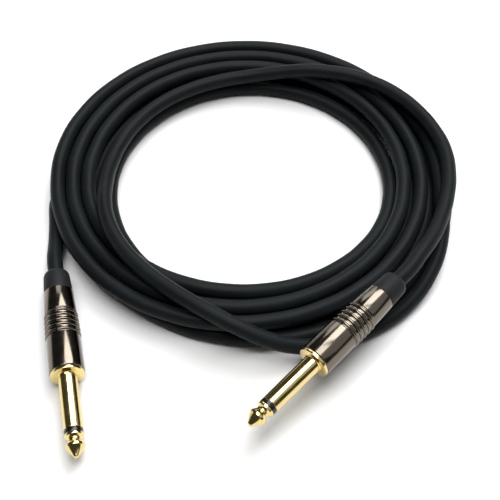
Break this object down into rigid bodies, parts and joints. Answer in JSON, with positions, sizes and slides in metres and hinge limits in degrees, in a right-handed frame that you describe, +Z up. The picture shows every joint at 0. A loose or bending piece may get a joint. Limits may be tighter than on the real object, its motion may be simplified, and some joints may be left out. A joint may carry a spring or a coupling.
{
  "type": "instrument cable",
  "caption": "Coiled instrument cable with a straight quarter-inch mono jack plug on each end; the plugs have ribbed screw shells, rubber boots and full inner terminals.",
  "frame": {"origin": "centre of the coil, at the height of the surface it lies on", "axes": "+Z up from that surface; +X across the coil, from the first plug to the second; -Y from the coil towards the plugs"},
  "size_m": [0.1586, 0.1971, 0.0222],
  "materials": {
    "cable_jacket": "satin black PVC",
    "boot_rubber": "moulded, satin",
    "gold_plate": "polished gold plate on brass",
    "black_nickel": "polished black nickel on brass",
    "black_insulator": "moulded, glossy",
    "tinned_brass": "tinned, dull",
    "clear_plastic": "clear tube",
    "core_plastic": "white polyethylene",
    "bare_copper": "bare stranded copper",
    "solder": "solder, satin"
  },
  "bodies": {
    "root": {"cable_coil": "cable_jacket", "lead_a": "cable_jacket", "lead_b": "cable_jacket", "tip_contact_a": "gold_plate", "tip_insulator_a": "black_insulator", "rod_insulator_a": "black_insulator", "sleeve_a": "gold_plate", "ground_terminal_a": "tinned_brass", "terminal_washer_a": "black_insulator", "tip_terminal_a": "tinned_brass", "terminal_cover_a": "clear_plastic", "core_insulation_a": "core_plastic", "core_conductor_a": "bare_copper", "shield_pigtail_a": "bare_copper", "tip_solder_a": "solder", "ground_solder_a": "solder", "tip_contact_b": "gold_plate", "tip_insulator_b": "black_insulator", "rod_insulator_b": "black_insulator", "sleeve_b": "gold_plate", "ground_terminal_b": "tinned_brass", "terminal_washer_b": "black_insulator", "tip_terminal_b": "tinned_brass", "terminal_cover_b": "clear_plastic", "core_insulation_b": "core_plastic", "core_conductor_b": "bare_copper", "shield_pigtail_b": "bare_copper", "tip_solder_b": "solder", "ground_solder_b": "solder"},
    "boot_a": {"boot_a": "boot_rubber"},
    "shell_a": {"shell_a": "black_nickel"},
    "boot_b": {"boot_b": "boot_rubber"},
    "shell_b": {"shell_b": "black_nickel"}
  },
  "joints": [
    {"name": "boot_a_slide", "type": "slide", "parent": "root", "child": "boot_a", "axis": [-0.2147, 0.9767, 0], "range_m": [0, 0.0053]},
    {"name": "shell_a_turn", "type": "hinge", "parent": "boot_a", "child": "shell_a", "pos_m": [-0.0634, -0.0892, 0.00617], "axis": [-0.2147, 0.9767, 0], "range_deg": [0, 2520]},
    {"name": "boot_b_slide", "type": "slide", "parent": "root", "child": "boot_b", "axis": [0.698, 0.7127, 0.0698], "range_m": [0, 0.0053]},
    {"name": "shell_b_turn", "type": "hinge", "parent": "boot_b", "child": "shell_b", "pos_m": [0.0179, -0.0891, 0.01453], "axis": [0.698, 0.7127, 0.0698], "range_deg": [0, 2520]}
  ],
  "couplings": [
    {"joint": "boot_a_slide", "follows": "shell_a_turn", "m_per_rad": 0.00011937},
    {"joint": "boot_b_slide", "follows": "shell_b_turn", "m_per_rad": 0.00011937}
  ]
}
